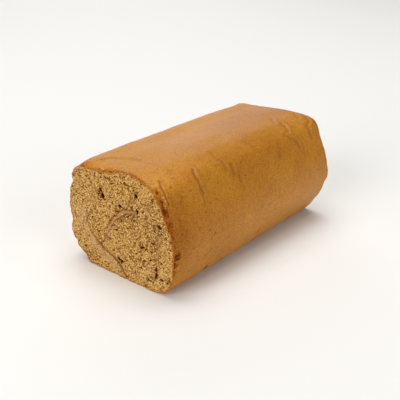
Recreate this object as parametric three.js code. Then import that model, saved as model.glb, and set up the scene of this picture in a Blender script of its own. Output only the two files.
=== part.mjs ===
// A coffee roll: one sheet of baked coffee sponge, spread with a thin coat of coffee cream and rolled up.
// The roll is cut square at both ends, so the winding shows there, and it lies on its flattened underside.
// Millimetres, +Z up. The roll lies along X, and the origin is the middle of its footprint.
import * as THREE from "three";

// Driving dimensions
const LENGTH = 175;
const HALF_WIDTH = 50;
const HEIGHT = 78;
const CREAM_THICKNESS = 1.2;
const CLEARANCE = 0.3; // air between the cream and the sponge on each side

// How the section changes along the roll
const FLARE = 0.065; // growth of the crown's width from the front end to the back end, as a share
const TUCK = 0.12; // how much the foot of the -Y flank draws in over the same length, as a share
const CROWN = 0.035; // how much the crown flattens over the same length, as a share of the height
const CROWN_REACH = 30; // distance from the ridge at which the flattening is full
const RIDGE_Y = -11; // where the highest line of the roll runs
const PINCH_WIDTH = 0.043; // how much the knife drew the front end's edge in, as shares
const PINCH_HEIGHT = 0.029;
const LIP_LENGTH = 5; // over this distance from the front end that drawing-in fades

// Resolution
const RINGS = 8;
const SKIN_POINTS = 84;
const SEAM_POINTS = 104;

// The outside of the section, once round from the seam's mouth in the underside: shares of half width and height
const SKIN = [
  [-0.104, 0], [-0.42, 0], [-0.68, 0.014], [-0.85, 0.09], [-0.962, 0.255], [-1.005, 0.435], [-0.955, 0.61],
  [-0.84, 0.77], [-0.71, 0.91], [-0.48, 0.985], [-0.22, 1], [0.02, 0.992], [0.4, 0.96], [0.72, 0.94],
  [0.915, 0.83], [1.01, 0.64], [1.016, 0.45], [0.98, 0.275], [0.87, 0.13], [0.68, 0.018], [0.4, 0],
];

// The seam that the cream fills, from its mouth in the underside to the heart of the winding, in the same shares
const SEAM = [
  [-0.104, 0], [-0.075, 0.03], [-0.025, 0.08], [0.05, 0.13], [0.17, 0.172], [0.295, 0.21], [0.42, 0.25],
  [0.54, 0.31], [0.625, 0.385], [0.665, 0.46], [0.64, 0.53], [0.555, 0.57], [0.47, 0.615], [0.405, 0.675],
  [0.32, 0.74], [0.18, 0.79], [0, 0.82], [-0.17, 0.83], [-0.345, 0.825], [-0.515, 0.79], [-0.665, 0.72],
  [-0.745, 0.625], [-0.73, 0.515], [-0.7, 0.41], [-0.68, 0.32], [-0.695, 0.23], [-0.64, 0.145], [-0.5, 0.106],
  [-0.315, 0.112], [-0.125, 0.145], [0.02, 0.185], [0.16, 0.23], [0.255, 0.27], [0.295, 0.325], [0.255, 0.395],
  [0.19, 0.46], [0.115, 0.53], [0.02, 0.585], [-0.085, 0.635], [-0.215, 0.664], [-0.35, 0.66], [-0.46, 0.61],
  [-0.506, 0.53], [-0.496, 0.435], [-0.455, 0.355], [-0.37, 0.297], [-0.24, 0.275], [-0.115, 0.29],
  [-0.032, 0.343], [-0.02, 0.41], [-0.085, 0.47], [-0.19, 0.495], [-0.287, 0.475],
];
const CREAM_STARTS = 3; // seam samples left dry behind the mouth, where the outer end is only tucked under
const CREAM_STOPS = 2; // seam samples left dry at the heart

// Looks
const sponge = new THREE.MeshStandardMaterial({ color: 0xc08438, roughness: 0.62, metalness: 0 });
const cream = new THREE.MeshStandardMaterial({ color: 0xa67c52, roughness: 0.5, metalness: 0 });

const inSection = ([y, z]) => new THREE.Vector3(y * HALF_WIDTH, z * HEIGHT, 0);
const onSection = (point) => new THREE.Vector2(point.x, Math.max(0, point.y));

// Points evenly spaced round the outside, without the one that lies in the seam's mouth.
function skinOutline() {
  const curve = new THREE.CatmullRomCurve3(SKIN.map(inSection), true, "centripetal");
  return curve.getSpacedPoints(SKIN_POINTS).slice(1, -1).map(onSection);
}

// Points evenly spaced along the seam, each with the direction across it. At the mouth that is along Y.
function seamSamples() {
  const curve = new THREE.CatmullRomCurve3(SEAM.map(inSection), false, "centripetal");
  return curve.getSpacedPoints(SEAM_POINTS).map((point, i) => {
    const tangent = curve.getTangentAt(i / SEAM_POINTS);
    const across = i === 0 ? new THREE.Vector2(-1, 0) : new THREE.Vector2(-tangent.y, tangent.x).normalize();
    return { point: new THREE.Vector2(point.x, point.y), across };
  });
}

// The two sides of a band of the given thickness along seam samples: one side in order, the other back again.
function bandOutline(samples, thickness) {
  const side = (sign) =>
    samples.map(({ point, across }) => onSection(point.clone().addScaledVector(across, (sign * thickness) / 2)));
  return [...side(-1), ...side(1).reverse()];
}

// Ring number u of RINGS along the roll. The rings gather at the two ends, where the section changes fastest.
const ringPosition = (u) => (LENGTH / 2) * Math.sin(Math.PI * (u / RINGS - 0.5));

// Carries a section outline along the roll, and lets the section flare, flatten and draw in on the way.
function carried(outline) {
  const geometry = new THREE.ExtrudeGeometry(new THREE.Shape(outline), {
    depth: RINGS,
    steps: RINGS,
    bevelEnabled: false,
  });
  const position = geometry.attributes.position;
  for (let i = 0; i < position.count; i++) {
    const [y, z] = [position.getX(i), position.getY(i)];
    const x = ringPosition(position.getZ(i));
    const along = x / LENGTH;
    const lip = Math.exp(-(x + LENGTH / 2) / LIP_LENGTH);
    const shoulder = Math.min(1, Math.abs(y - RIDGE_Y) / CROWN_REACH) ** 2;
    const foot = y < 0 ? (1 - z / HEIGHT) ** 3 : 0;
    const width = 1 + along * ((FLARE * z) / HEIGHT - TUCK * foot);
    const height = 1 + (along * CROWN * shoulder * z) / HEIGHT;
    position.setXYZ(i, x, y * width * (1 - PINCH_WIDTH * lip), z * height * (1 - PINCH_HEIGHT * lip));
  }
  geometry.computeVertexNormals();
  return geometry;
}

function named(name, geometry, material) {
  const mesh = new THREE.Mesh(geometry, material);
  mesh.name = name;
  return mesh;
}

const seam = seamSamples();
const slot = bandOutline(seam, CREAM_THICKNESS + 2 * CLEARANCE);
const creamBand = bandOutline(seam.slice(CREAM_STARTS, -CREAM_STOPS), CREAM_THICKNESS);

const roll = new THREE.Group();
roll.add(named("sponge_sheet", carried([...skinOutline(), ...slot]), sponge));
roll.add(named("coffee_cream", carried(creamBand), cream));

const box = new THREE.Box3().setFromObject(roll);
const middle = box.getCenter(new THREE.Vector3());
roll.position.set(-middle.x, -middle.y, -box.min.z);

const part = new THREE.Group();
part.add(roll);

export default part;
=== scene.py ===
"""A coffee roll: a sheet of baked coffee sponge with a thin coat of coffee cream, rolled up and cut square.

Everything is in the CAD model's frame: the roll lies along X, with its front cut end at -X, and stands on
Z = 0. Shapes are worked out in millimetres as numpy arrays, and become metres when they go into a mesh.
"""
import math
import bpy
import numpy as np
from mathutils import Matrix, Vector


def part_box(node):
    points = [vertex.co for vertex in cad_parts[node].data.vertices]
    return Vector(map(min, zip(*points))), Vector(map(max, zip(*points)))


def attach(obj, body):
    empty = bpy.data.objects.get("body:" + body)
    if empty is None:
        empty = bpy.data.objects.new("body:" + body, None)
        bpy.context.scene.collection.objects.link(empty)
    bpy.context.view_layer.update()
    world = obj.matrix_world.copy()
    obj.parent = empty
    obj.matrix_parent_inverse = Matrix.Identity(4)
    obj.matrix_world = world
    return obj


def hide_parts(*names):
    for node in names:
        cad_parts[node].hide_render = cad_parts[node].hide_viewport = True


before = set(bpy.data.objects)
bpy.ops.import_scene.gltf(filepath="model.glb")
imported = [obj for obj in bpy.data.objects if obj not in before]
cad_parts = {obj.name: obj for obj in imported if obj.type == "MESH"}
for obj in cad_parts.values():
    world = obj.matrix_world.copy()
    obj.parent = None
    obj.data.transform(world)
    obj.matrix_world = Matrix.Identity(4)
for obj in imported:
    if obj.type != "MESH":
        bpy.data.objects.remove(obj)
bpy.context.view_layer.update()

MM = 0.001

# -------- the roll's size, from the CAD model
LOW, HIGH = (np.array(corner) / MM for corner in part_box("sponge_sheet"))
LENGTH, WIDTH, HEIGHT = HIGH - LOW
UNFLARED = 0.9765  # the CAD outline's own width as a share of the box's, which has its flare in it
HALF_WIDTH = WIDTH / 2 * UNFLARED

# How the section changes along the roll, as in the CAD model
FLARE = 0.065  # growth of the crown's width from the front end to the back end, as a share
TUCK = 0.12  # how much the foot of the -Y flank draws in over the same length, as a share
CROWN = 0.035  # how much the crown flattens over the same length, as a share of the height
CROWN_REACH = 30  # distance from the ridge at which the flattening is full
RIDGE_Y = -11  # where the highest line of the roll runs
PINCH_WIDTH = 0.043  # how much the knife drew the front end's edge in, as shares
PINCH_HEIGHT = 0.029
LIP_LENGTH = 5  # over this distance from the front end that drawing-in fades

# The outside of the section, once round from the seam's mouth in the underside: shares of half width and
# height
SKIN = [
    (-0.104, 0), (-0.42, 0), (-0.68, 0.014), (-0.85, 0.09), (-0.962, 0.255), (-1.005, 0.435),
    (-0.955, 0.61), (-0.84, 0.77), (-0.71, 0.91), (-0.48, 0.985), (-0.22, 1), (0.02, 0.992),
    (0.4, 0.96), (0.72, 0.94), (0.915, 0.83), (1.01, 0.64), (1.016, 0.45), (0.98, 0.275), (0.87, 0.13),
    (0.68, 0.018), (0.4, 0),
]

# The seam that the cream fills, from its mouth in the underside to the heart of the winding: the same
SEAM = [
    (-0.104, 0), (-0.075, 0.03), (-0.025, 0.08), (0.05, 0.13), (0.17, 0.172), (0.295, 0.21),
    (0.42, 0.25), (0.54, 0.31), (0.625, 0.385), (0.665, 0.46), (0.64, 0.53), (0.555, 0.57),
    (0.47, 0.615), (0.405, 0.675), (0.32, 0.74), (0.18, 0.79), (0, 0.82), (-0.17, 0.83),
    (-0.345, 0.825), (-0.515, 0.79), (-0.665, 0.72), (-0.745, 0.625), (-0.73, 0.515), (-0.7, 0.41),
    (-0.68, 0.32), (-0.695, 0.23), (-0.64, 0.145), (-0.5, 0.106), (-0.315, 0.112), (-0.125, 0.145),
    (0.02, 0.185), (0.16, 0.23), (0.255, 0.27), (0.295, 0.325), (0.255, 0.395), (0.19, 0.46),
    (0.115, 0.53), (0.02, 0.585), (-0.085, 0.635), (-0.215, 0.664), (-0.35, 0.66), (-0.46, 0.61),
    (-0.506, 0.53), (-0.496, 0.435), (-0.455, 0.355), (-0.37, 0.297), (-0.24, 0.275), (-0.115, 0.29),
    (-0.032, 0.343), (-0.02, 0.41), (-0.085, 0.47), (-0.19, 0.495), (-0.287, 0.475),
]
CREAM_THICKNESS = 1.2
HEART = np.array([0, 0.48 * HEIGHT])  # where the rings of the cut faces shrink to

# How fine the shapes are
CURVE_SAMPLES = 24  # samples of a curve between two of its points
FACE_RINGS = 80  # rings of cells from the heart of a cut face to its rim
RIM_STEP = 0.55  # gap between the skin's rings at the two rims
RIM_REACH = 2.5  # over this distance from a rim the skin takes on the rim's shape
REPEAT = 256  # cells after which a random pattern comes again
TINY = 1e-9  # keeps a division or a comparison clear of rounding


# -------- curves and noise
def curve_through(points, closed):
    """A centripetal Catmull-Rom curve through the points: fine samples, and their shares of its length.

    Between two points it is a cubic whose end slopes come from the four nearest points, each gap weighed
    by the square root of its length. An open curve's ends are continued straight.
    """
    p = np.array(points, float)
    if closed:
        p0, p1, p2, p3 = np.roll(p, 1, 0), p, np.roll(p, -1, 0), np.roll(p, -2, 0)
    else:
        longer = np.vstack([2 * p[0] - p[1], p, 2 * p[-1] - p[-2]])
        p0, p1, p2, p3 = longer[:-3], longer[1:-2], longer[2:-1], longer[3:]
    gaps = ((p0, p1), (p1, p2), (p2, p3))
    d0, d1, d2 = (np.sqrt(np.linalg.norm(b - a, axis=1))[:, None] for a, b in gaps)
    slope1 = ((p1 - p0) / d0 - (p2 - p0) / (d0 + d1) + (p2 - p1) / d1) * d1
    slope2 = ((p2 - p1) / d1 - (p3 - p1) / (d1 + d2) + (p3 - p2) / d2) * d1
    u = np.linspace(0, 1, CURVE_SAMPLES, endpoint=False)[None, :, None]
    square, cube = 3 * (p2 - p1) - 2 * slope1 - slope2, 2 * (p1 - p2) + slope1 + slope2
    a, b, c, d = (v[:, None, :] for v in (p1, slope1, square, cube))
    fine = (a + b * u + c * u**2 + d * u**3).reshape(-1, p.shape[1])
    fine = np.vstack([fine, p[:1] if closed else p[-1:]])
    steps = np.linalg.norm(np.diff(fine, axis=0), axis=1)
    return fine, np.concatenate([[0], np.cumsum(steps)]) / steps.sum()


def points_at(curve, share):
    """Points of a curve at shares of its length, each coordinate read off between samples."""
    fine, shares = curve
    return np.stack([np.interp(share, shares, fine[:, k]) for k in range(fine.shape[1])], -1)


def noise(points, size, seed):
    """Smooth random values, -1 to 1, at points in a plane: random numbers at the corners of square cells of
    this size, eased between them."""
    table = np.random.default_rng(seed).uniform(-1, 1, (REPEAT, REPEAT))
    q = points / size
    cell = np.floor(q).astype(int)
    ease = (q - cell) ** 2 * (3 - 2 * (q - cell))
    total = np.zeros(points.shape[:-1])
    for corner in np.ndindex(2, 2):
        weight = np.prod(np.where(corner, ease, 1 - ease), axis=-1)
        index = (cell + np.array(corner)) % REPEAT
        total += weight * table[index[..., 0], index[..., 1]]
    return total


def drifts(points, size, seed):
    """Two noises as a shift for each point, which gives round and straight shapes a hand-made outline."""
    return np.stack([noise(points, size, seed), noise(points, size, seed + 1)], -1)


def rough(points, size, seed, octaves=2, gain=0.55):
    """Noise with finer noise on it: each octave has half the size and gain times the height."""
    return sum(gain**k * noise(points, size / 2**k, seed + k) for k in range(octaves))


def pores(points, cell, seed, radii, share):
    """How deep each point lies in a pore, 0 to 1.

    Space is cut into square cells, a share of which hold one round pore at a random place, clear of the
    cell's edges, with a random radius. Its depth falls from 1 at the middle to 0 at the rim.
    """
    margin = 0.15
    table = np.random.default_rng(seed).random((REPEAT, REPEAT, 4))
    home = np.floor(points / cell).astype(int)
    deepest = np.zeros(len(points))
    for step in np.ndindex(3, 3):
        near = home + np.array(step) - 1
        dice = table[near[:, 0] % REPEAT, near[:, 1] % REPEAT]
        middle = (near + margin + (1 - 2 * margin) * dice[:, :2]) * cell
        away = np.linalg.norm(points - middle, axis=1)
        radius = radii[0] + (radii[1] - radii[0]) * dice[:, 2] ** 2
        depth = np.clip(1 - (away / radius) ** 2, 0, 1) * (dice[:, 3] < share)
        deepest = np.maximum(deepest, depth)
    return deepest


def smooth(low, high, value):
    """0 below low, 1 above high, eased between."""
    t = np.clip((value - low) / (high - low), 0, 1)
    return t * t * (3 - 2 * t)


def between(rise, fall, value):
    """0, then 1 past the stretch in which it rises, then 0 again past the one in which it falls."""
    return smooth(*rise, value) * (1 - smooth(*fall, value))


def bells(places, listed):
    """The bell shapes of a list at places: each is its height times e to the minus square of the distance
    from its middle, measured in its own two half lengths."""
    return [much * np.exp(-(((places - at) / halves) ** 2).sum(-1)) for at, *halves, much in listed]


# -------- the roll's body
OUTLINE = curve_through([(y * HALF_WIDTH, z * HEIGHT) for y, z in SKIN], closed=True)
SEAM_LINE = curve_through([(y * HALF_WIDTH, z * HEIGHT) for y, z in SEAM], closed=False)


def carried(x, section):
    """Section points (y, z) as they are at x: the crown widens and flattens towards the back, the -Y foot
    draws in, and the knife has drawn the front rim in."""
    y, z = section[..., 0], np.maximum(0, section[..., 1])
    along = x / LENGTH
    lip = np.exp(-(x + LENGTH / 2) / LIP_LENGTH)
    shoulder = np.minimum(1, np.abs(y - RIDGE_Y) / CROWN_REACH) ** 2
    foot = np.where(y < 0, (1 - z / HEIGHT) ** 3, 0)
    wide = 1 + along * (FLARE * z / HEIGHT - TUCK * foot)
    high = 1 + along * CROWN * shoulder * z / HEIGHT
    y, z = y * wide * (1 - PINCH_WIDTH * lip), z * high * (1 - PINCH_HEIGHT * lip)
    return np.stack([x + 0 * y, y, z], -1)


GIRTH, SEAM_LENGTH = (
    np.linalg.norm(np.diff(fine, axis=0), axis=1).sum() for fine, shares in (OUTLINE, SEAM_LINE))
ENDS = np.concatenate([carried(x, OUTLINE[0])[:, 1] for x in (-LENGTH / 2, 0, LENGTH / 2)])
CENTRE_Y = (LOW[1] + HIGH[1] - ENDS.min() - ENDS.max()) / 2  # the CAD model is centred by its box


# -------- the skin
# Creases of the skin: places (mm behind the front rim, mm round the skin from the seam's mouth towards -Y),
# then half width and depth in mm. Each is a soft groove with a low ridge beside it, or the reverse.
CREASES = [
    ([(10.5, 172), (17, 168), (19.8, 157), (19, 148.6), (18.8, 143)], 1.3, 0.4),
    ([(8.8, 116), (7.2, 110), (6.4, 104.5), (7.2, 99)], 0.6, 1.0),
    ([(4.2, 111), (3.0, 109.5), (1.2, 106.5)], 0.6, 0.9),
    ([(37.8, 113.6), (35.5, 107.5), (36.0, 101.1), (36.2, 96.3)], 0.9, 1.0),
    ([(32.3, 100), (33.2, 96.6), (33.0, 90.5)], 0.6, -0.7),
    ([(63.8, 120.7), (61.5, 115.3), (61.8, 112.3)], 1.0, 0.45),
    ([(64.8, 112.5), (63.0, 106.7), (63.0, 102.7)], 1.1, 0.9),
    ([(68.5, 106.2), (68.5, 101.4), (68.2, 97.5)], 1.0, 0.8),
    ([(73.8, 99.5), (73.0, 93.0), (72.2, 86.7)], 1.0, 0.8),
    ([(55.5, 97), (53, 92)], 1.0, 0.35),
    ([(27.5, 52.5), (31, 55.5), (34.8, 58.5)], 0.8, 0.6),
    ([(96, 118), (102, 106)], 1.6, 0.35),
    ([(124.8, 106.5), (120.5, 95.6)], 1.4, 0.55),
    ([(150.0, 133.1), (143.2, 124.0)], 1.0, 0.45),
    ([(147.5, 121.5), (144.0, 112.3)], 1.1, 0.7),
    ([(137.5, 111.5), (140.5, 105.5), (145.5, 101.4), (146.2, 97.5)], 1.1, 0.75),
    ([(151.8, 97.5), (150.8, 89.5)], 1.1, 0.5),
    ([(171.8, 118.5), (170.5, 111.8), (164.2, 109.3), (164.0, 104.4), (164.8, 99.5)], 1.2, 0.7),
    ([(169.5, 126.5), (166.0, 119.0)], 1.1, 0.6),
    ([(88, 98), (91, 84)], 1.6, 0.3),
    ([(60, 228), (52, 244), (55, 258)], 1.6, 0.5),
    ([(118, 216), (127, 236)], 1.5, 0.5),
    ([(28, 222), (20, 236)], 1.3, 0.4),
]
# Dark, over-baked spots of the skin, and pinholes, the spots of 0.6 and 0.7 mm half lengths, whose dark
# colour is painted shade: the same kind of place, half lengths along and round, strength
SCORCHES_AND_SHADED_PINHOLES = [
    ((1.5, 185), 3.0, 8.0, 0.8), ((1.6, 97), 2.8, 9.0, 1.4), ((1.4, 88), 2.6, 7.0, 1.0),
    ((0.8, 78), 1.6, 9.0, 0.8), ((1.2, 60), 1.8, 7.0, 1.3), ((2.8, 65.5), 1.7, 2.4, 4.0),
    ((1.6, 59.5), 1.3, 1.2, 1.6), ((0.8, 70), 1.2, 3.0, 0.8), ((34.5, 41), 1.4, 2.2, 2.2),
    ((91, 48), 1.2, 1.6, 1.2), ((0.5, 250), 2.0, 12.0, 0.6), ((175, 120), 1.6, 20.0, 0.4),
    ((173, 250), 3.0, 14.0, 0.5), ((0.8, 140), 1.2, 34.0, 0.9), ((14.0, 107.8), 0.7, 0.7, 1.4),
    ((2.8, 108.8), 0.8, 2.6, 1.1), ((38, 68.5), 0.6, 0.6, 1.0), ((32.5, 72.5), 0.6, 0.6, 1.0),
    ((34.2, 66), 0.6, 0.6, 0.9), ((24, 76.8), 0.6, 0.6, 0.8), ((40.2, 75), 0.6, 0.6, 0.8),
    ((21.8, 87.7), 0.6, 0.6, 0.8),
]
# Paler and darker patches of the skin, and a painted highlight, the long paler band at 172 mm round along
# the crown's ridge: the same kind of place, half lengths, paler (+) or darker (-)
TONES_AND_RIDGE_HIGHLIGHT = [
    ((28, 146), 34, 26, 0.4), ((30, 118), 22, 12, 0.6), ((9, 111), 9, 9, 0.9), ((5, 80), 14, 26, -1.1),
    ((100, 172), 90, 12, 0.4), ((125, 62), 70, 16, 0.5), ((105, 105), 50, 16, -0.3),
    ((14, 98), 9, 10, -0.3), ((150, 150), 30, 20, -0.25),
]
# Where the skin is dull and dry: the same kind of place, half lengths, strength
DRY = [((6, 80), 14, 26, 0.5), ((24, 152), 32, 24, 0.7), ((80, 132), 34, 10, 0.45)]
# Pale, torn spots where the crumb shows through the skin
TEARS = [
    ((4.4, 104.6), 0.9, 1.2, 1.1), ((5.4, 101.6), 0.8, 1.0, 1.0), ((3.6, 99.0), 0.6, 1.2, 0.7),
    ((2.2, 56.5), 1.2, 1.8, 0.6), ((2.0, 160), 0.9, 2.2, 0.8),
]
# The front rim as the knife left it, once round the face: (y, z) in mm. Between two points its distance
# from the heart changes evenly with the angle.
FRONT_RIM = [
    (-32, 0.4), (-38, 1.4), (-41.6, 4.4), (-44.2, 8.4), (-46.2, 13.5), (-47, 19), (-47.6, 25),
    (-47.8, 32), (-47.2, 37.5), (-46.1, 43), (-44.6, 47.6), (-42.2, 51), (-40.2, 55), (-38.4, 59.5),
    (-36.3, 63.2), (-34, 66.4), (-31.8, 68.8), (-30, 71.2), (-27.8, 72.5), (-25, 73.1), (-20, 74.8),
    (-15, 75.6), (-10, 76.2), (-5, 76.2), (0, 74.7), (5, 73), (9.5, 72.4), (13.5, 71.8), (16.5, 72.7),
    (19, 71.4), (25, 70.8), (30, 70.9), (36.2, 70.4), (39.8, 68.4), (42, 66), (43.6, 63), (43.6, 60),
    (42.7, 57.8), (44.1, 56), (46, 53), (47, 48), (47.4, 44), (47.6, 38), (47.7, 33), (46.8, 30),
    (46.2, 27.9), (46.8, 26), (47.8, 23), (47.6, 20.5), (46.6, 17.6), (44.8, 14.6), (43.2, 13),
    (42.8, 10.6), (41, 8.8), (37.6, 6.9), (34.8, 4.9), (33, 3.6), (33.2, 2.3), (31, 1.0),
]
BROKEN = (48, 63, 1.9)  # where the back rim is broken off: from and to, mm round, and how deep
# Broad swells of the whole body: the same kind of place, half lengths along and round, height in mm
SWELLS = [((70, 184), 85, 14, 1.3), ((175, 112), 15, 9, 2.2), ((175, 42), 9, 7, -2.0)]


def swell(places):
    """How far the body stands out at places by the swells. At the front rim there is none."""
    return sum(bells(places, SWELLS)) * smooth(0, 7, places[..., 0])


def from_line(points, corners):
    """Each point's distance from a line of straight stretches, and which side of it the point lies on."""
    best = np.full(len(points), np.inf)
    side = np.zeros(len(points))
    for a, b in zip(corners[:-1], corners[1:]):
        way, off = np.subtract(b, a), points - a
        along = np.clip(off @ way / (way @ way), 0, 1)
        distance = np.linalg.norm(off - along[:, None] * way, axis=1)
        closer = distance < best
        best = np.where(closer, distance, best)
        side = np.where(closer, way[0] * off[:, 1] - way[1] * off[:, 0], side)
    return best, np.sign(side)


def spots(places, listed, seed):
    """How strongly places lie in the listed spots: the strongest of their bell shapes, with rough rims."""
    return np.max(bells(places + 0.5 * drifts(places, 2.0, seed), listed), axis=0)


def skin_relief(places):
    """How far the skin stands out at places (mm behind the front rim, mm round), and how deep in a crease
    they lie.

    Broad waves, wrinkles that run round the roll, a fine grain and the creases add up, and torn and
    scorched spots are sunk. The underside stays flat.
    """
    around = places[:, 1]
    off_foot = between((22, 45), (GIRTH - 45, GIRTH - 22), around)
    upper = between((58, 75), (242, 262), around)
    waves = 0.45 * rough(places, 34, 11)
    wrinkles = 0.12 * rough(places / (1, 4), 5, 21)
    grain = 0.05 * rough(places, 1.6, 41)
    out = waves + wrinkles * upper + grain
    drift = 0.7 * drifts(places, 5, 31)
    deep = np.zeros(len(places))
    for corners, width, depth in CREASES:
        away, side = from_line(places + drift, corners)
        groove = np.exp(-((away / width) ** 2))
        ridge = np.exp(-(((away * side - 1.9 * width) / (1.2 * width)) ** 2))
        out += depth * (0.65 * ridge - groove)
        deep = np.maximum(deep, groove * min(1, depth))
    torn, charred = spots(places, TEARS, 51), spots(places, SCORCHES_AND_SHADED_PINHOLES, 91)
    sunk = 0.5 * torn * (1 + rough(places, 1.2, 61))
    sunk += 0.35 * charred * (0.7 + rough(places, 1.4, 63))
    return (out - sunk) * off_foot, deep


def rim_shape(turn, back):
    """How the knife left a rim, at shares of the way round it: how far it lies out from the plane of the
    cut, and how far out from the smooth outline, in mm. Both are frayed, and the front rim follows its own
    outline besides."""
    around = turn * GIRTH
    line = np.stack([around, 0 * around], -1)
    frayed = 1 - 0.5 * back
    out = 0.3 * frayed * rough(line, 2.6, 71 + back, octaves=3)
    bulge = 0.18 * frayed * rough(line, 2.2, 81 + back)
    if back:
        start, end, deep = BROKEN
        lip = 1.1 * np.exp(-(((around - end - 5) / 6) ** 2))
        return out + lip - deep * between((start - 1, start + 1), (end - 1, end + 1), around), bulge
    angle, reach = polar(carried(-LENGTH / 2, points_at(OUTLINE, turn))[..., 1:])
    rim_angle, rim_reach = polar(np.array(FRONT_RIM))
    order = np.argsort(rim_angle)
    cut_reach = np.interp(angle, rim_angle[order], rim_reach[order], period=math.tau)
    return out, bulge + cut_reach - reach


def polar(points):
    """Angles and distances of section points from the heart."""
    off = points - HEART
    return np.arctan2(off[..., 1], off[..., 0]), np.linalg.norm(off, axis=-1)


def clear_of_foot(height):
    """0 on the flat foot of the section, 1 from 3 mm above it, so that the roll stands on a flat face."""
    return smooth(0.2, 3, height)


def ring_places():
    """Places of the skin's rings, in mm behind the front rim.

    They are RIM_STEP apart at the two rims, 0.95 mm in the front creases, 2.15 mm in the plainer middle and
    1.3 mm in the back creases. The count of rings is summed along the roll and inverted.
    """
    x = np.linspace(0, LENGTH, 4000)
    step = RIM_STEP + 0.4 * smooth(10, 20, x) + 1.2 * smooth(42, 80, x) - 0.85 * smooth(120, 135, x)
    step = np.minimum(step, RIM_STEP + 0.15 * (LENGTH - x))
    count = np.concatenate([[0], np.cumsum(np.diff(x) / step[1:])])
    return np.interp(np.linspace(0, count[-1], int(count[-1]) + 1), count, x)


def skin_points(behind, turn):
    """The skin's points in mm, and its marks, on a grid of mm behind the front rim and shares of the way
    round.

    The smooth body is the section carried along the roll. Near each rim it takes on that rim's shape, and
    elsewhere it stands out along its own normal by the relief.
    """
    body = carried(behind - LENGTH / 2, points_at(OUTLINE, turn))
    normal = np.cross(np.gradient(body, axis=0), np.roll(body, -1, 1) - np.roll(body, 1, 1))
    normal /= np.linalg.norm(normal, axis=-1, keepdims=True)
    places = np.stack([behind.ravel(), turn.ravel() * GIRTH], -1)
    relief, deep = skin_relief(places)
    settled = smooth(0, RIM_REACH, behind) * smooth(0, RIM_REACH, LENGTH - behind)
    proud = relief.reshape(behind.shape) * settled + swell(places).reshape(behind.shape)
    points = body + normal * proud[..., None]
    for back in (0, 1):
        out, bulge = rim_shape(turn, back)
        near = np.exp(-(LENGTH - behind if back else behind) / RIM_REACH)
        points += normal * (bulge * near * clear_of_foot(body[..., 2]))[..., None]
        points[..., 0] += (2 * back - 1) * out * near
    edge = np.minimum(places[:, 0], LENGTH - places[:, 0])
    # The tone mark also holds a painted highlight along the ridge, and the scorch mark the pinholes' painted
    # shade
    marks = dict(crease=deep, scorch=spots(places, SCORCHES_AND_SHADED_PINHOLES, 91), tear=spots(places, TEARS, 51),
                 inside=-edge, tone=sum(bells(places, TONES_AND_RIDGE_HIGHLIGHT)), dry=sum(bells(places, DRY)))
    return points.reshape(-1, 3), marks


# -------- the cut faces
# Holes in the front face: middle (y, z), half lengths, turn in degrees, depth; mm
HOLES = [
    ((15.4, 58.4), 1.4, 1.4, 20, 4.0), ((13.9, 55.3), 1.8, 2.4, 10, 4.5),
    ((12.6, 52.8), 0.8, 0.7, 60, 2.4), ((-2.0, 51.8), 1.9, 1.05, 8, 3.6),
    ((7.6, 48.8), 0.5, 1.7, 0, 1.6), ((22.0, 44.3), 1.2, 0.65, -25, 2.0),
    ((-16.8, 52.2), 1.2, 1.8, 10, 4.0), ((-13.0, 47.2), 3.6, 0.35, 52, 1.6),
    ((-16.6, 62.9), 1.9, 1.0, 10, 4.0), ((-15.2, 60.4), 0.9, 0.4, 0, 1.3),
    ((-3.5, 44.0), 1.2, 0.6, 0, 1.8), ((9.5, 25.1), 0.9, 0.8, 0, 2.4),
    ((0.5, 12.3), 3.2, 1.1, -14, 5.0), ((-0.6, 10.4), 0.9, 1.2, 0, 3.0),
    ((-36.0, 47.6), 1.5, 1.1, 0, 3.6), ((-38.2, 43.5), 0.6, 0.8, 0, 2.0),
    ((-41.8, 41.4), 0.7, 0.6, 0, 2.0), ((-24.0, 42.4), 0.6, 0.7, 0, 1.6),
    ((-20.6, 28.5), 1.6, 0.55, 20, 1.8), ((-24.6, 27.5), 0.9, 0.45, -20, 1.6),
    ((-32.3, 16.5), 0.7, 2.2, -8, 2.6), ((-31.4, 12.2), 0.6, 2.6, -22, 2.4),
    ((-36.0, 27.4), 1.3, 0.45, 8, 1.7), ((-31.2, 23.4), 1.8, 0.4, 0, 1.4),
    ((-27.0, 6.9), 1.2, 0.5, 8, 2.2), ((-32.0, 6.1), 0.7, 0.5, 0, 1.8),
    ((-42.0, 10.0), 1.1, 0.8, 30, 2.0), ((-36.6, 11.1), 1.3, 0.9, 0, 1.7),
    ((-17.6, 19.3), 2.8, 0.35, 15, 1.4), ((-6.6, 72.8), 0.9, 0.4, 0, 1.2),
    ((35.6, 7.2), 1.7, 0.5, -10, 1.6), ((35.2, 11.3), 1.1, 0.6, -15, 1.4),
    ((29.8, 20.8), 0.7, 0.7, 0, 1.7), ((25.2, 28.0), 1.2, 0.4, 25, 1.4),
    ((-1.2, 60.2), 1.0, 0.4, 20, 1.3), ((5.6, 65.6), 1.4, 0.4, 30, 1.2),
    ((41.6, 43.2), 1.6, 0.5, 25, 1.2), ((34.0, 34.0), 1.2, 0.35, 15, 1.0),
    ((-26.4, 60.0), 1.1, 0.5, 10, 1.3), ((1.2, 20.4), 1.3, 0.5, 40, 1.6),
    ((3.9, 23.3), 0.9, 0.5, 50, 1.4), ((-2.6, 24.3), 0.7, 0.5, 0, 1.5),
    ((21.0, 24.2), 0.8, 0.4, 0, 1.3), ((7.0, 17.2), 1.5, 0.5, 35, 1.6),
    ((-13.8, 8.3), 1.2, 0.45, 25, 1.3),
]
# Where the crumb of the front face is paler (+) or darker (-): middle (y, z), half lengths in mm, how much
CRUMB_TONES = [
    ((42, 48), 12, 28, 0.8), ((-11, 48), 13, 10, -0.65), ((-36, 46), 11, 14, -0.8),
    ((-28, 9), 14, 8, 0.9), ((20, 66), 20, 7, 0.2),
]
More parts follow.
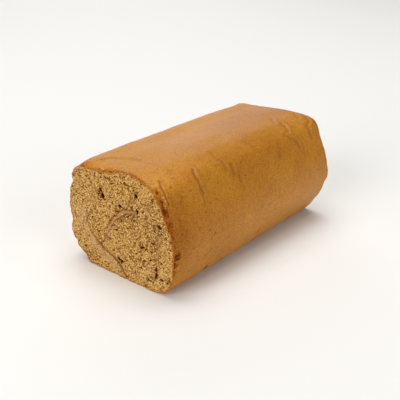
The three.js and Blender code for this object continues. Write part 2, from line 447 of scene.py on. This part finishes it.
# Rusty spots of the front face, where drops of cream or crust were dragged over it: the same, strength last
RUSTY = [
    ((18.0, 56.8), 1.8, 2.6, 0.8), ((14.6, 61.5), 1.2, 1.2, 0.6), ((7.8, 69.4), 1.3, 1.0, 0.9),
    ((13.6, 71.0), 1.0, 0.9, 0.7), ((-14.8, 65.4), 1.1, 1.6, 0.8), ((-21.6, 58.8), 1.4, 1.0, 0.6),
    ((-30.6, 63.6), 1.3, 1.0, 0.8), ((-17.4, 48.4), 1.4, 2.0, 0.6), ((-42.6, 5.0), 2.4, 1.2, 0.9),
    ((-37.5, 3.4), 2.2, 1.2, 0.9), ((12.0, 24.0), 2.0, 3.0, 0.5),
]
# Smears of cream that the knife dragged over the front face: the same
SMEARS = [
    ((-27.7, 56.6), 2.6, 4.0, 0.55), ((-33.8, 38.0), 0.9, 4.5, 0.7), ((-29.5, 23.4), 3.0, 1.3, 0.75),
    ((-27.3, 16.8), 2.4, 3.0, 0.6), ((-16.4, 4.2), 5.0, 2.2, 0.6), ((-15.5, 37.5), 4.5, 4.0, 0.4),
    ((26.8, 47.8), 4.0, 5.0, 0.45),
]
# Brown cracks in the front face beside the seam: corners (y, z) in mm, half width, strength
CRACKS = [
    ([(12.6, 27.5), (15.2, 23), (18.0, 19.0)], 0.8, 0.8),
    ([(28.5, 29.0), (31.4, 33.2), (28.9, 38.0), (22.0, 43.9)], 0.7, 0.75),
    ([(-8.5, 21.5), (-14.5, 15.8)], 0.5, 0.6), ([(-30.8, 16.5), (-31.5, 10), (-28.6, 5.6)], 0.6, 0.7),
    ([(-26, 24.5), (-29.5, 21.5), (-32.5, 21)], 0.7, 0.55),
]
TUCKED = 0.17  # the outer end of the sheet lies tucked under along this share of the seam
# Where the cream shows in the front and the back face, where it has soaked into the crumb and where there
# is only a brown line, as stretches of the seam's length from its mouth to its heart: from, to, how much
CREAM_SHOWN = ([], [(0.2, 0.36, 0.8), (0.44, 0.6, 1.0), (0.66, 0.85, 1.0)])
SOAKED = ([(0.455, 0.5, 0.7), (0.665, 0.785, 1.0)], [(0.2, 0.36, 0.7), (0.44, 0.6, 0.8), (0.66, 0.85, 0.9)])
LINE_SHOWN = (
    [(0.0, 0.1, 1.1), (0.1, 0.172, 0.7), (0.39, 0.46, 0.55)],
    [(0.0, 0.2, 0.8), (0.36, 0.44, 0.6), (0.6, 0.66, 0.6)],
)
# In the cut faces the crumb's grain is turned by 30 degrees, and stretched this much along and across
GRAIN_TURN = np.array([[0.86, 0.5], [-0.5, 0.86]])
GRAIN_STRETCH = (1.3, 0.9)


def shown(share, stretches):
    """How much of the seam shows at a share of its length: the stretches' strengths, faded at each end."""
    fade = 0.01
    return sum((much * between((a - fade, a + fade), (b - fade, b + fade), share)
                for a, b, much in stretches), 0 * share)


def near_seam(points, x):
    """Each point's distance from the seam's line in the cut face at x, positive on the outer side of the
    winding, and the share of the seam's length there."""
    shares = np.linspace(0, 1, 500)
    line = carried(x, points_at(SEAM_LINE, shares))[:, 1:]
    nearest = np.linalg.norm(points[:, None] - line[None], axis=2).argmin(1)
    off, way = points - line[nearest], np.gradient(line, axis=0)[nearest]
    outer = np.sign(way[:, 1] * off[:, 0] - way[:, 0] * off[:, 1])
    return np.linalg.norm(off, axis=1) * np.where(outer < 0, -1, 1), shares[nearest]


def holes_at(points, drift, listed):
    """How deep points lie in the listed holes, in mm: turned ellipses with steep walls and rough rims."""
    deepest = np.zeros(len(points))
    for middle, half_length, half_width, turn, deep in listed:
        c, s = math.cos(math.radians(turn)), math.sin(math.radians(turn))
        off = (points + 0.5 * drift - middle) @ np.array([[-c, s], [s, c]]) / (half_length, half_width)
        deepest = np.maximum(deepest, deep * np.clip(1.3 - (off**2).sum(1), 0, 1))
    return deepest


def crumb(points, back):
    """The relief of a cut face: how deep points lie below the plane of the cut in mm, and their marks.

    The depth is the deepest of wormy fine pores of up to 0.8 mm, middling round ones of 1.4 mm, or 2.1 mm
    towards -Y, large ones of 2.2 mm and the holes, with slow swells on it. Where the crumb is pressed, in
    the tucked outer end and in places elsewhere, there are fewer pores, and fewer too where cream has
    soaked in or was smeared over it. The seam is a groove where it shows, and the tucked end stands out a
    little. Rusty, paler and darker spots are marks alone.
    """
    seed = 300 + 50 * back
    away, share = near_seam(points, LENGTH * (back - 0.5))
    drift = drifts(points, 1.6, seed + 1)
    grained = (points + 0.5 * drift) @ GRAIN_TURN / GRAIN_STRETCH
    beside = away + 0.5 * noise(points, 2.5, seed + 10)
    tucked = shown(share, [(-0.1, TUCKED, 1)]) * between((-0.3, 0.5), (5, 10), beside)
    pressed = 0.5 * smooth(0.15, 0.7, rough(points, 13, seed + 8))
    pressed = np.maximum(0.3 * tucked, pressed)
    coarse = smooth(5, -38, points[:, 0])
    drawn = np.stack([share * SEAM_LENGTH / 2.6, away / 0.8], -1)
    wormy = (1 - tucked) * rough(grained, 0.95, seed + 3, gain=0.6)
    wormy += tucked * rough(drawn, 1.25, seed + 11, gain=0.7)
    fine = 0.8 * smooth(0.0, 0.85, wormy)
    middling = pores(grained, 1.7, seed + 4, radii=(0.35, 0.7), share=0.5) * (1.4 + 0.7 * coarse)
    large = pores(grained, 5.0, seed + 5, radii=(0.6, 1.1), share=0.25) * 2.2
    holed = holes_at(points, drift, [] if back else HOLES)
    cream, soaked, line = (shown(share, listed[back]) for listed in (CREAM_SHOWN, SOAKED, LINE_SHOWN))
    spread = 1.0 + 0.35 * noise(points, 2.2, seed + 9)
    band = 1.5 * spread
    ragged = away + 0.3 * rough(points, 1.5, seed + 12)
    smeared = spots(points, SMEARS, 99) * (1 - back)
    inlet = np.maximum(soaked * np.exp(-((ragged / band) ** 4)), smeared)
    pore = np.maximum.reduce([fine * (1 - 0.6 * pressed), middling * (1 - pressed), large * (1 - tucked)])
    pore = np.maximum(pore * (1 - 0.7 * inlet), holed)
    crack = line * np.exp(-((away / (0.8 * spread)) ** 2))
    for corners, width, much in [] if back else CRACKS:
        off_line = from_line(points + 0.4 * drift, corners)[0]
        crack = np.maximum(crack, much * np.exp(-((off_line / width) ** 2)))
    swells = 0.3 * rough(points, 15, seed + 7) + 0.14 * rough(points, 0.9, seed + 6)
    groove = cream * np.exp(-((away / 0.6) ** 2))
    depth = pore + swells + 0.4 * inlet + groove + 0.7 * crack - 0.4 * tucked
    stain = soaked * np.exp(-(((np.abs(ragged) - band) / 0.55) ** 2))
    marks = dict(pore=pore, tucked=tucked, inlet=inlet, line=np.maximum(crack, stain),
                 along=share * SEAM_LENGTH, beside=away, tone=sum(bells(points, CRUMB_TONES)) * (1 - back),
                 rust=spots(points, RUSTY, 97) * (1 - back))
    return depth, marks


def face_points(back, turn, ring):
    """The points of a cut face in mm, and its marks. Its rings shrink from the outline to the heart, and
    the relief sinks them into the roll."""
    x = LENGTH * (back - 0.5)
    out, bulge = rim_shape(turn, back)
    bulge = bulge + swell(np.stack([0 * turn + LENGTH * back, turn * GIRTH], -1))
    edge = carried(x, points_at(OUTLINE, turn))[:, 1:]
    reach = polar(edge)[1]
    places = HEART + (ring * (1 + bulge * clear_of_foot(edge[:, 1]) / reach))[:, None] * (edge - HEART)
    depth, marks = crumb(places, back)
    depth *= 1 - 0.85 * smooth(0.955, 1, ring)
    marks["inside"] = (1 - ring) * reach
    outward = 2 * back - 1
    return np.column_stack([x - outward * (depth - out * smooth(0.9, 1, ring)), places]), marks


# -------- meshes
SKIN_SLOT, CRUMB_SLOT = 0, 1
CREAM_STRETCH = (0.03, 0.985)  # the share of the seam's length that holds cream, from and to
CREAM_SUNK = 5.5  # how deep the cream's edge lies in a cut face where it doesn't show
CREAM_RISES = 4.4  # how far it comes forward from there where it shows in full
MARKS = (
    "pore", "tucked", "inlet", "line", "along", "beside", "inside", "crease", "scorch", "tear", "tone",
    "dry", "rust",
)


def face_grid(rings):
    """A square grid of (2 rings + 1) squared points: each one's share of the way round the face, from the
    seam's mouth towards -Y, and its ring as a share of the way from heart to rim.

    A point's ring is the larger of its two distances from the grid's middle, so the cells stay nearly even
    and there is no pole.
    """
    side = np.linspace(-1, 1, 2 * rings + 1)
    a, b = np.meshgrid(side, side, indexing="ij")
    ring = np.maximum(np.abs(a), np.abs(b))
    a, b = a / np.maximum(ring, TINY), b / np.maximum(ring, TINY)
    turn = np.select(
        [(b <= TINY - 1) & (a <= 0), a <= TINY - 1, b >= 1 - TINY, a >= 1 - TINY],
        [-a / 8, (2 + b) / 8, (4 + a) / 8, (6 - b) / 8],
        (8 - a) / 8,
    )
    return turn % 1, ring


def quads(numbers):
    """The cells of a grid of point numbers."""
    corners = [numbers[:-1, :-1], numbers[1:, :-1], numbers[1:, 1:], numbers[:-1, 1:]]
    return np.stack(corners, -1).reshape(-1, 4)


def joined(fine, coarse):
    """Triangles between a closed line of point numbers and one of half as many: three for each cell of the
    coarse one."""
    a, b, c = fine, np.roll(fine, -1), np.roll(fine, -2)
    d, e = coarse, np.roll(coarse, -1)
    triangles = (a[::2], b[::2], d), (b[::2], e, d), (b[::2], c[::2], e)
    return np.concatenate([np.stack(corners, -1) for corners in triangles])


def sponge():
    """The whole sponge as one closed mesh: the front face, the skin and the back face."""
    turn, ring = face_grid(FACE_RINGS)
    rim = np.flatnonzero(ring.ravel() > 1 - TINY)
    rim = rim[np.argsort(turn.ravel()[rim])]
    around = np.linspace(0, 1, len(rim) // 2, endpoint=False)
    behind, turns = np.meshgrid(ring_places()[1:-1], around, indexing="ij")
    patches = [face_points(0, turn.ravel(), ring.ravel()), skin_points(behind, turns),
               face_points(1, turn.ravel(), ring.ravel())]
    points = np.vstack([patch[0] for patch in patches])
    starts = np.cumsum([0] + [len(patch[0]) for patch in patches])
    front = np.arange(ring.size).reshape(ring.shape)
    skin = starts[1] + np.arange(behind.size).reshape(behind.shape)
    closed = np.column_stack([skin, skin[:, :1]])
    faces = [quads(front)[:, ::-1], joined(rim, skin[0])[:, ::-1], quads(closed),
             joined(rim + starts[2], skin[-1]), quads(front + starts[2])]
    kinds = [CRUMB_SLOT, SKIN_SLOT, SKIN_SLOT, SKIN_SLOT, CRUMB_SLOT]
    slots = np.repeat(kinds, [len(patch) for patch in faces])
    marks = {}
    for name in MARKS:
        found = [np.broadcast_to(marked.get(name, 0.0), len(at)) for at, marked in patches]
        marks[name] = np.concatenate(found)
    corners = [face for patch in faces for face in patch.tolist()]
    return mesh_piece("sponge_sheet_baked", points, corners, slots, marks)


def mesh_piece(name, points, faces, slots, marks):
    """Puts points in mm, in the section's own frame, into a mesh piece, with its faces' material slots and
    its points' marks as attributes."""
    points = points + (0, CENTRE_Y, 0)
    points[:, 2] = np.maximum(points[:, 2], 0)
    mesh = bpy.data.meshes.new(name)
    mesh.from_pydata(points * MM, [], faces)
    mesh.polygons.foreach_set("material_index", np.asarray(slots, np.int32))
    mesh.polygons.foreach_set("use_smooth", np.ones(len(faces), bool))
    for mark, values in marks.items():
        attribute = mesh.attributes.new(mark, "FLOAT", "POINT")
        attribute.data.foreach_set("value", np.asarray(values, np.float32))
    mesh.update()
    piece = bpy.data.objects.new(name, mesh)
    bpy.context.scene.collection.objects.link(piece)
    return piece


def cream():
    """The coat of cream: a ribbon along the seam, from end to end of the roll.

    Round the ribbon its section goes out along one side and back along the other. Its two long edges, in
    the cut faces, are drawn back where the cream doesn't show.
    """
    shares = np.linspace(*CREAM_STRETCH, 420)
    line = points_at(SEAM_LINE, shares)
    slope = np.gradient(line, axis=0)
    across = np.stack([-slope[:, 1], slope[:, 0]], -1) / np.linalg.norm(slope, axis=1)[:, None]
    run = np.stack([shares * SEAM_LENGTH, 0 * shares], -1)
    ends = []
    for back in (0, 1):
        sunk = CREAM_SUNK - CREAM_RISES * shown(shares, CREAM_SHOWN[back])
        ends.append((2 * back - 1) * (LENGTH / 2 - sunk + 0.5 * rough(run, 1.7, 500 + back, octaves=3)))
    count, bulge = 15, 0.003
    along = np.linspace(0, 1, count)
    side = np.concatenate([np.ones(count), [0.0], -np.ones(count), [0.0]])
    span = np.concatenate([along, [1 + bulge], along[::-1], [-bulge]])
    x = ends[0][:, None] + (ends[1] - ends[0])[:, None] * span
    thick = CREAM_THICKNESS / 2 * (1 + 0.25 * rough(run, 6, 510))
    section = line[:, None] + across[:, None] * (side * thick[:, None])[..., None]
    points = carried(x, section)
    numbers = np.arange(points.shape[0] * points.shape[1]).reshape(points.shape[:2])
    faces = quads(np.column_stack([numbers, numbers[:, :1]]))[:, ::-1].tolist()
    faces += [numbers[0].tolist()[::-1], numbers[-1].tolist()]
    return mesh_piece("coffee_cream_spread", points.reshape(-1, 3), faces, np.zeros(len(faces)), {})


# -------- materials
def linear(code):
    """The linear colour of an sRGB hex value, with alpha 1."""
    parts = np.array([int(code[i:i + 2], 16) for i in (1, 3, 5)]) / 255
    parts = np.where(parts <= 0.04045, parts / 12.92, ((parts + 0.055) / 1.055) ** 2.4)
    return (*parts.tolist(), 1.0)


def per_mm(size):
    """The scale, on Object coordinates in metres, of a pattern whose features are so many mm apart."""
    return 1000 / size


def add(tree, kind, settings=None, links=None, out=0):
    """Adds a node to a material: its properties and input values by name or number, and its inputs' links
    from other nodes' outputs. It returns the node's output of that name or number."""
    node = tree.nodes.new("ShaderNode" + kind)
    for key, value in (settings or {}).items():
        if isinstance(key, str) and hasattr(node, key):
            setattr(node, key, value)
        else:
            node.inputs[key].default_value = value
    for key, socket in (links or {}).items():
        tree.links.new(socket, node.inputs[key])
    return None if out is None else node.outputs[out]


def material(name):
    """An empty material, and its node tree."""
    made = bpy.data.materials.new(name)
    made.use_nodes = True
    made.node_tree.nodes.clear()
    return made, made.node_tree


def baked_skin():
    """Baked sponge skin, the smooth face that forms where the batter meets the hot air and the paper.

    It looks golden-brown, satin and freckled, with pinholes where bubbles broke, darkened with painted shade.
    It is darker at the cut rims, has painted shade in the creases and a painted highlight along the crown's
    ridge, is scorched in spots, and dull where it is dry. Its freckles and pinholes are drawn 0.8 and 2.1 mm
    apart, coarser than the real ones, because those would be too fine to show.
    """
    made, tree = material("baked_sponge_skin")
    place = add(tree, "TexCoord", out="Object")
    broad, mottled, grain, charring = (
        add(tree, "TexNoise", {"Scale": per_mm(size), "Detail": detail, "Roughness": gain}, {"Vector": place})
        for size, detail, gain in ((30, 3.0, 0.5), (5, 4.0, 0.65), (0.8, 2.0, 0.7), (1.8, 3.0, 0.7)))
    # The tone mark holds a painted highlight along the crown's ridge, the scorch mark painted shade in
    # pinholes
    baked, crease, inside, scorch, tear, dry = (
        add(tree, "Attribute", {"attribute_name": name}, out="Fac")
        for name in ("tone", "crease", "inside", "scorch", "tear", "dry"))

    # How much of a colour shows: 0 where a value is at start, and the most where it is at end
    tone, paler, darker, fleck, freckle, speck, crease_shade = (
        add(tree, "MapRange", {"From Min": start, "From Max": end, "To Max": most}, {"Value": value})
        for value, start, end, most in (
            (broad, 0.35, 0.65, 1.0),
            # Paler patches, and along the crown's ridge a painted highlight
            (baked, 0.0, 1.0, 0.7),
            (baked, 0.0, -1.0, 0.8),
            (mottled, 0.5, 0.3, 0.5),
            (grain, 0.5, 0.31, 0.75),
            (grain, 0.52, 0.75, 0.6),
            # Painted shade in the creases
            (crease, 0.0, 1.0, 0.7),
        ))

    # Pinholes: the middles of a few cells, chosen by their random colour, more of them where it is dark
    bubbles = add(tree, "TexVoronoi", {"Scale": per_mm(2.1)}, {"Vector": place}, "Distance")
    dice = add(tree, "SeparateColor", links={"Color": bubbles.node.outputs["Color"]})
    chance = add(tree, "Math", {"operation": "MULTIPLY_ADD", 1: -0.55}, {0: baked, 2: dice})
    broken = add(tree, "MapRange", {"From Min": 0.6, "From Max": 1.1}, {"Value": chance})
    # The pinholes' dark colour is painted shade in the holes
    shaded_pinhole = add(tree, "MapRange", {"From Min": 0.25, "From Max": 0.13}, {"Value": bubbles})
    shaded_pinhole = add(tree, "Math", {"operation": "MULTIPLY"}, {0: shaded_pinhole, 1: broken})

    # The darker band at the rims, scorched spots with burnt middles, and torn spots. In the smallest listed
    # spots, which are pinholes, the scorched colours are painted shade
    wobble = add(tree, "MapRange", {"From Min": 0.3, "From Max": 0.7, "To Min": -0.9, "To Max": 0.9},
                 {"Value": mottled})
    edge = add(tree, "Math", {"operation": "ADD"}, {0: inside, 1: wobble})
    rim = add(tree, "MapRange", {"From Min": -0.9, "From Max": 0.3, "To Max": 0.8}, {"Value": edge})
    patchy = add(tree, "MapRange", {"From Min": 0.38, "From Max": 0.62, "To Min": 1.7, "To Max": 0.1},
                 {"Value": charring})
    scorched = add(tree, "Math", {"operation": "MULTIPLY"}, {0: scorch, 1: patchy})
    burnt = add(tree, "MapRange", {"From Min": 0.9, "From Max": 2.2, "To Max": 0.8}, {"Value": scorched})
    ragged = add(tree, "MapRange", {"From Min": 0.4, "From Max": 0.6, "To Min": 0.2}, {"Value": grain})
    torn = add(tree, "Math", {"operation": "MULTIPLY"}, {0: tear, 1: ragged})
    torn = add(tree, "MapRange", {"From Min": 0.15, "From Max": 0.5}, {"Value": torn})

    # The colours, each laid over the ones before it. Those of the pinholes and the creases are painted shade,
    # the scorched ones are too in the smallest listed spots, and the paler one is a painted highlight on the
    # ridge
    colour = add(tree, "Mix", {"data_type": "RGBA", 6: linear("#BF7F20"), 7: linear("#B57317")}, {0: tone}, 2)
    for code, share in (
        ("#D6953A", paler), ("#965406", darker), ("#9C5E0F", fleck), ("#935608", freckle), ("#D69A3A", speck),
        ("#5C3006", shaded_pinhole), ("#8A4E0C", crease_shade), ("#924E06", rim), ("#823E06", scorched),
        ("#45200C", burnt), ("#D29A50", torn),
    ):
        colour = add(tree, "Mix", {"data_type": "RGBA", 7: linear(code)}, {0: share, 6: colour}, 2)

    # The pinholes are sunk, and the shine goes where the skin is scorched, cut, pitted, dry or freckled
    height = add(tree, "Math", {"operation": "MULTIPLY_ADD", 1: -1.5}, {0: shaded_pinhole, 2: grain})
    bump = add(tree, "Bump", {"Strength": 0.5, "Distance": 0.15 * MM}, {"Height": height})
    satin = add(tree, "MapRange", {"From Min": 0.3, "From Max": 0.7, "To Min": 0.41, "To Max": 0.53},
                {"Value": mottled})
    dull = scorched
    for also in (rim, shaded_pinhole, dry):
        dull = add(tree, "Math", {"operation": "MAXIMUM"}, {0: also, 1: dull})
    dull = add(tree, "Math", {"operation": "MULTIPLY_ADD", 1: 0.6, "use_clamp": True},
               {0: freckle, 2: dull})
    shine = add(tree, "MapRange", {"To Min": 0.5, "To Max": 0.04}, {"Value": dull})
    shader = add(tree, "BsdfPrincipled", {"IOR": 1.35}, {
        "Base Color": colour, "Roughness": satin, "Normal": bump, "Specular IOR Level": shine})
    add(tree, "OutputMaterial", links={"Surface": shader}, out=None)
    return made


def cut_crumb():
    """The open crumb of baked coffee sponge, where the knife went through.

    It looks matt and tan, with pale raised crumbs, and its pores, pits and holes darkened with painted shade.
    It is browner in the crust at the rim, and mauve-brown where cream has soaked in or was smeared over it.
    Its grain is drawn 1.15 mm apart, coarser than the real one, because that would be too fine to show.
    """
    made, tree = material("cut_coffee_sponge")
    place = add(tree, "TexCoord", out="Object")
    baked, tucked, inlet, line, rust, pore, inside, along, beside = (
        add(tree, "Attribute", {"attribute_name": name}, out="Fac")
        for name in ("tone", "tucked", "inlet", "line", "rust", "pore", "inside", "along", "beside"))
    patches, open_grain = (
        add(tree, "TexNoise", {"Scale": per_mm(size), "Detail": 3.0, "Roughness": gain}, {"Vector": place})
        for size, gain in ((8, 0.6), (1.15, 0.75)))

    # The grain: open crumb, but streaks 1.1 mm apart, drawn out four times as long along the seam, where the
    # end of the sheet is tucked under. The marks that they follow are in mm.
    drawn_out = add(tree, "Math", {"operation": "DIVIDE", 1: 4.0}, {0: along})
    flow = add(tree, "CombineXYZ", links={"X": drawn_out, "Y": beside})
    streaks = add(tree, "TexNoise", {"Scale": 0.9, "Detail": 3.0, "Roughness": 0.85}, {"Vector": flow})
    smeared = add(tree, "MapRange", {"From Min": 0.3, "From Max": 0.7}, {"Value": tucked})
    grain = add(tree, "Mix", {"data_type": "FLOAT"}, {0: smeared, 2: open_grain, 3: streaks})

    # How much of a colour shows: 0 where a value is at start, and the most where it is at end
    tone, paler, darker, bright, dim, smoothed, drawn, pore_shade, deep = (
        add(tree, "MapRange", {"From Min": start, "From Max": end, "To Max": most}, {"Value": value})
        for value, start, end, most in (
            (patches, 0.35, 0.65, 1.0),
            (baked, 0.0, 1.0, 0.6),
            (baked, 0.0, -1.0, 0.7),
            (grain, 0.5, 0.62, 1.0),
            (grain, 0.5, 0.36, 0.8),
            (tucked, 0.0, 1.0, 0.5),
            (line, 0.15, 0.75, 0.85),
            # These two rows are painted shade in the pores and holes
            (pore, 0.33, 0.83, 0.9),
            (pore, 0.7, 1.6, 1.0),
        ))

    # Cream that has soaked in, and rusty spots
    mottle = add(tree, "MapRange", {"From Min": 0.42, "From Max": 0.6, "To Min": 0.45}, {"Value": grain})
    soaked = add(tree, "Math", {"operation": "MULTIPLY"}, {0: inlet, 1: mottle})
    rusty = add(tree, "Math", {"operation": "MULTIPLY"}, {0: rust, 1: mottle})
    rusty = add(tree, "MapRange", {"From Min": 0.1, "From Max": 0.5, "To Max": 0.9}, {"Value": rusty})

    # The finest pores: irregular cells, of which the random colour leaves fewer where the crumb is pressed.
    # Their dark colour, and that of the gaping ones, is painted shade
    bend = add(tree, "TexNoise", {"Scale": per_mm(1.4), "Detail": 1.0}, {"Vector": place}, "Color")
    bent = add(tree, "VectorMath", {"operation": "MULTIPLY_ADD", 1: (1.2 * MM,) * 3}, {0: bend, 2: place})
    bubbles = add(tree, "TexVoronoi", {"Scale": per_mm(1.0)}, {"Vector": bent}, "Distance")
    dice = add(tree, "SeparateColor", links={"Color": bubbles.node.outputs["Color"]})
    chance = dice
    for weight, mark in ((-0.16, tucked), (-0.3, inlet), (0.9, patches)):
        chance = add(tree, "Math", {"operation": "MULTIPLY_ADD", 1: weight}, {0: mark, 2: chance})
    broken = add(tree, "MapRange", {"From Min": 0.9, "From Max": 1.2}, {"Value": chance})
    shaded_pit = add(tree, "MapRange", {"From Min": 0.44, "From Max": 0.3}, {"Value": bubbles})
    shaded_pit = add(tree, "Math", {"operation": "MULTIPLY"}, {0: shaded_pit, 1: broken})
    gaping_shade = add(tree, "MapRange", {"From Min": 1.2, "From Max": 1.32, "To Max": 0.9}, {"Value": chance})
    gaping_shade = add(tree, "Math", {"operation": "MULTIPLY"}, {0: shaded_pit, 1: gaping_shade})
    # The darkest colour paints shade into the holes and gaping pits
    deep = add(tree, "Math", {"operation": "MAXIMUM"}, {0: gaping_shade, 1: deep})

    # Raised crumbs in other cells, and the crust at the rim
    raised = add(tree, "MapRange", {"From Min": 0.42, "From Max": 0.2, "To Max": 0.9}, {"Value": dice})
    crumbs = add(tree, "MapRange", {"From Min": 0.4, "From Max": 0.25}, {"Value": bubbles})
    crumbs = add(tree, "Math", {"operation": "MULTIPLY"}, {0: crumbs, 1: raised})
    wobble = add(tree, "MapRange", {"From Min": 0.3, "From Max": 0.7, "To Min": -0.7, "To Max": 0.7},
                 {"Value": grain})
    edge = add(tree, "Math", {"operation": "ADD"}, {0: inside, 1: wobble})
    crust = add(tree, "MapRange", {"From Min": 1.3, "From Max": 0.6, "To Max": 0.9}, {"Value": edge})

    # The colours, each laid over the ones before it. Those of the pores, the pits and the holes are painted
    # shade
    colour = add(tree, "Mix", {"data_type": "RGBA", 6: linear("#B48434"), 7: linear("#C39442")}, {0: tone}, 2)
    for code, share in (
        ("#D6AC66", paler), ("#8E5E20", darker), ("#E6BB7A", bright), ("#8E5712", dim), ("#C29A6A", smoothed),
        ("#AE7F50", soaked), ("#875018", drawn), ("#9A6022", rusty), ("#703606", pore_shade), ("#6A2C03", shaded_pit),
        ("#ECCA96", crumbs), ("#3E1403", deep), ("#A8661A", crust),
    ):
        colour = add(tree, "Mix", {"data_type": "RGBA", 7: linear(code)}, {0: share, 6: colour}, 2)

    # The grain stands up and the pits are sunk, and neither pores nor pits shine
    height = add(tree, "Math", {"operation": "MULTIPLY_ADD", 1: -0.6}, {0: shaded_pit, 2: grain})
    bump = add(tree, "Bump", {"Strength": 0.8, "Distance": 0.5 * MM}, {"Height": height})
    sunk = add(tree, "Math", {"operation": "ADD", "use_clamp": True}, {0: pore_shade, 1: shaded_pit})
    shine = add(tree, "MapRange", {"To Min": 0.5, "To Max": 0.0}, {"Value": sunk})
    shader = add(tree, "BsdfPrincipled", {"Roughness": 0.8, "IOR": 1.3}, {
        "Base Color": colour, "Normal": bump, "Specular IOR Level": shine})
    add(tree, "OutputMaterial", links={"Surface": shader}, out=None)
    return made


def coffee_cream():
    """Butter cream with coffee in it, spread thin with a palette knife and half soaked away.

    It looks mauve-tan, soft and slightly moist.
    """
    made, tree = material("coffee_butter_cream")
    place = add(tree, "TexCoord", out="Object")
    streaks = add(tree, "TexNoise", {"Scale": per_mm(1.6), "Detail": 4.0, "Roughness": 0.6},
                  {"Vector": place})
    tone = add(tree, "MapRange", {"From Min": 0.3, "From Max": 0.7}, {"Value": streaks})
    colour = add(tree, "Mix", {"data_type": "RGBA", 6: linear("#98693E"), 7: linear("#B78A5E")}, {0: tone}, 2)
    bump = add(tree, "Bump", {"Strength": 0.5, "Distance": 0.2 * MM}, {"Height": streaks})
    shader = add(tree, "BsdfPrincipled", {"Roughness": 0.5, "IOR": 1.46}, {
        "Base Color": colour, "Normal": bump})
    add(tree, "OutputMaterial", links={"Surface": shader}, out=None)
    return made


# -------- the roll
sheet_piece = sponge()
sheet_piece.data.materials.append(baked_skin())
sheet_piece.data.materials.append(cut_crumb())
cream_piece = cream()
cream_piece.data.materials.append(coffee_cream())
for piece, node, slot in (
    (sheet_piece, "sponge_sheet", "coffee_sponge"), (cream_piece, "coffee_cream", "coffee_cream"),
):
    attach(piece, "root")
    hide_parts(node)


# -------- camera, light and floor
AIM = Vector((-52.3, -39.8, 55.3)) * MM  # on the roll's -Y flank
HEADING, PITCH = math.radians(40.36), math.radians(23.69)  # to the left of +X, and down
VIEW = Vector((math.cos(HEADING) * math.cos(PITCH), math.sin(HEADING) * math.cos(PITCH), -math.sin(PITCH)))
DISTANCE = 0.44  # from the camera to that point, in metres
LIGHT_SIDE = 1.5  # of each square light, in metres
LIGHT_DISTANCE = 2.4  # from each light to the middle of the roll's footprint, in metres
LIGHT_AIM = Vector((0, 0, 0.04))  # the roll's middle

lens = bpy.data.cameras.new("camera")
lens.sensor_width = 36
lens.lens = 62.1
camera = bpy.data.objects.new("camera", lens)
camera.location = AIM - DISTANCE * VIEW
camera.rotation_euler = VIEW.to_track_quat("-Z", "Y").to_euler()
bpy.context.scene.collection.objects.link(camera)
bpy.context.scene.camera = camera


def softbox(name, heading, height, watts):
    """A square area light that faces the roll's middle: its heading from +X towards +Y, and its height over
    the floor, in degrees."""
    light = bpy.data.lights.new(name, "AREA")
    light.shape = "SQUARE"
    light.size = LIGHT_SIDE
    light.energy = watts
    lamp = bpy.data.objects.new(name, light)
    turn, rise = math.radians(heading), math.radians(height)
    way = Vector((math.cos(rise) * math.cos(turn), math.cos(rise) * math.sin(turn), math.sin(rise)))
    lamp.location = LIGHT_DISTANCE * way
    lamp.rotation_euler = (LIGHT_AIM - lamp.location).to_track_quat("-Z", "Y").to_euler()
    bpy.context.scene.collection.objects.link(lamp)


softbox("front_light", 180, 24, 34.6)
softbox("side_light", 270, 24, 16.3)
softbox("back_light", 50, 24, 11.5)
softbox("top_light", 90, 75, 24.9)
softbox("top_back_light", 0, 75, 15.0)

world = bpy.data.worlds.new("studio")
world.use_nodes = True
world.node_tree.nodes["Background"].inputs["Color"].default_value = linear("#FFFFFF")
world.node_tree.nodes["Background"].inputs["Strength"].default_value = 0.118
bpy.context.scene.world = world
bpy.context.scene.view_settings.view_transform = "Standard"

FLOOR = 4.0  # half of its side, in metres
corners = [(-FLOOR, -FLOOR, 0), (FLOOR, -FLOOR, 0), (FLOOR, FLOOR, 0), (-FLOOR, FLOOR, 0)]
floor_mesh = bpy.data.meshes.new("floor")
floor_mesh.from_pydata(corners, [], [(0, 1, 2, 3)])
floor = bpy.data.objects.new("floor", floor_mesh)
bpy.context.scene.collection.objects.link(floor)
# Matt wall paint, rolled on: it takes soft shadows and has no gloss to speak of
paint, paint_tree = material("matt_pale_paint")
add(paint_tree, "OutputMaterial", links={"Surface": add(
    paint_tree, "BsdfPrincipled", {"Base Color": linear("#F2F0EC"), "Roughness": 0.9})}, out=None)
floor_mesh.materials.append(paint)
